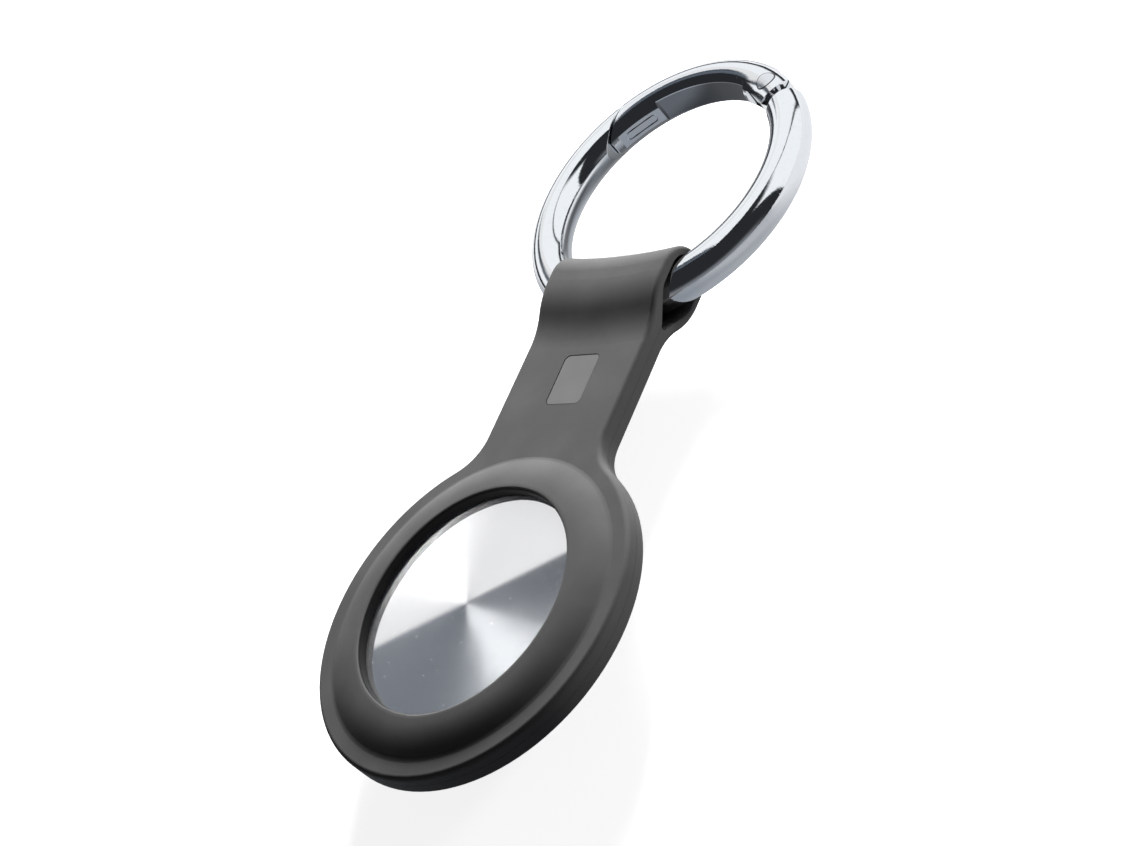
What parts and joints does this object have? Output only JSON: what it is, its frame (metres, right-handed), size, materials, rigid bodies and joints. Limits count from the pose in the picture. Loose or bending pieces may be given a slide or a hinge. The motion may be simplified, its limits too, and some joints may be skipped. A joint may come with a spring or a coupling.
{
  "type": "tracker tag holder",
  "caption": "Flexible tag holder: a round sleeve grips a domed tracker tag with a twist-off cover, and a strap loop carries a sprung-gate key ring.",
  "frame": {"origin": "middle of the footprint, on the surface that the back foot rests on", "axes": "+Z is the front normal (out of the tag's cover), +Y runs along the strap from the tag to the ring, +X is the width"},
  "size_m": [0.0374, 0.0888, 0.0098],
  "materials": {
    "silicone": "matte dark grey silicone",
    "ring_chrome": "bright plated",
    "rivet_steel": "ground flush",
    "spring_steel": "drawn wire",
    "white_plastic": "gloss white",
    "polished_steel": "polished",
    "black_plastic": "moulded",
    "cell_steel": "nickel plated",
    "contact_brass": "plated",
    "board_green": "solder mask",
    "magnet_metal": "plated"
  },
  "bodies": {
    "holder": {"holder_sleeve": "silicone"},
    "ring": {"ring_body": "ring_chrome"},
    "gate": {"gate_arm": "ring_chrome", "gate_rivet": "rivet_steel", "gate_spring": "spring_steel"},
    "plunger": {"gate_plunger": "spring_steel"},
    "tag": {"tag_shell": "white_plastic", "tag_tray": "black_plastic", "tag_circuit_board": "board_green", "tag_chips": "black_plastic", "tag_contact_positive": "contact_brass", "tag_contact_negative": "contact_brass", "tag_sounder_cup": "cell_steel", "tag_sounder_magnet": "magnet_metal", "tag_sounder_coil": "contact_brass", "tag_antenna": "contact_brass", "coin_cell_can": "cell_steel", "coin_cell_gasket": "black_plastic", "coin_cell_cap": "cell_steel"},
    "cover": {"tag_cover": "polished_steel", "tag_cover_ring": "black_plastic"}
  },
  "joints": [
    {"name": "ring_turn", "type": "hinge", "parent": "holder", "child": "ring", "pos_m": [0, 0.02689, 0.0065], "axis": [0, 0, 1], "range_deg": [-90, 60]},
    {"name": "gate_open", "type": "hinge", "parent": "ring", "child": "gate", "pos_m": [0.00964, 0.0388, 0.0065], "axis": [0, 0, 1], "range_deg": [0, 25], "stiffness_Nm_per_rad": 0.012, "springref_deg": -34.38},
    {"name": "plunger_slide", "type": "slide", "parent": "gate", "child": "plunger", "axis": [-0.7771, 0.6293, 0], "range_m": [0, 0.0007], "deforming": ["gate_spring"]},
    {"name": "tag_turn", "type": "hinge", "parent": "holder", "child": "tag", "pos_m": [0, -0.02569, 0.0068], "axis": [0, 0, 1], "continuous": true},
    {"name": "cover_twist", "type": "hinge", "parent": "tag", "child": "cover", "pos_m": [0, -0.02569, 0.0068], "axis": [0, 0, 1], "range_deg": [0, 30]}
  ],
  "couplings": [
    {"joint": "plunger_slide", "follows": "gate_open", "m_per_rad": 0.001388}
  ]
}
